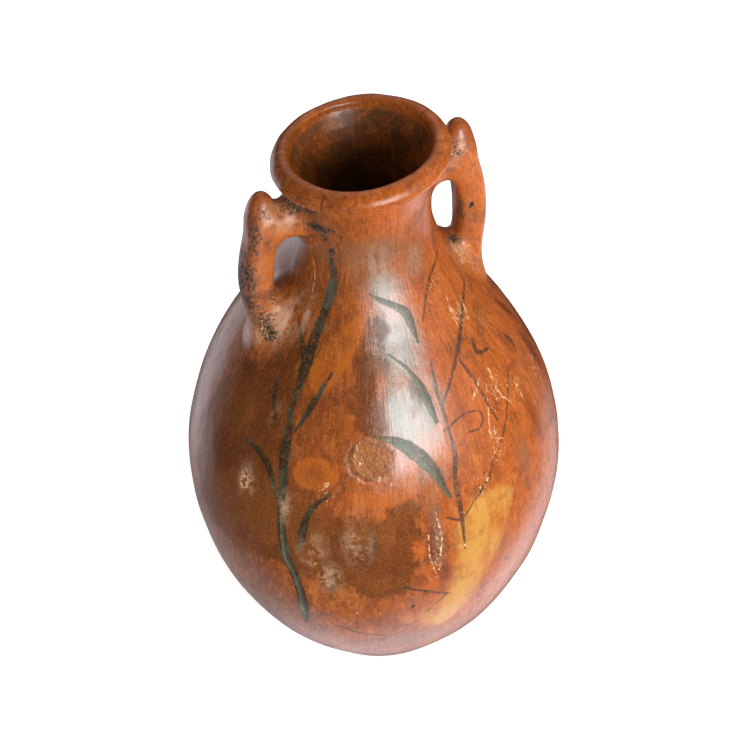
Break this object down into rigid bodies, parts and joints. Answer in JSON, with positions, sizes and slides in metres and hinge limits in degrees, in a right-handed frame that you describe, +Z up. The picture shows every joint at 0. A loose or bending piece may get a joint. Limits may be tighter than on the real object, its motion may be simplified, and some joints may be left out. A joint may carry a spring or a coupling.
{
  "type": "amphora",
  "caption": "Hand-built earthenware amphora with an egg-shaped body, narrow neck, rolled lip and paired upright handles with knobs.",
  "frame": {"origin": "centre of the flat foot, on the surface that the amphora stands on", "axes": "+Z up the axis of the pot, X along the line of the two handles, -Y towards the painted side"},
  "size_m": [0.2398, 0.2398, 0.408],
  "materials": {
    "body_slip": "burnished red-brown slip with painted stems",
    "lip_slip": "burnished red-brown slip",
    "handle_slip": "worn orange slip, soot in the corners",
    "bare_clay": "rough broken clay under thin slip"
  },
  "bodies": {
    "root": {"base_slab": "body_slip", "lower_wall": "body_slip", "belly_wall": "body_slip", "shoulder_wall": "body_slip", "neck_collar": "body_slip", "rim_roll": "lip_slip", "handle_strap_left": "handle_slip", "handle_bridge_left": "handle_slip", "handle_knob_left": "handle_slip", "handle_lute_left": "handle_slip", "handle_strap_right": "handle_slip", "handle_bridge_right": "handle_slip", "handle_knob_right": "handle_slip", "handle_lute_right": "handle_slip", "boss_stump": "bare_clay"}
  },
  "joints": []
}
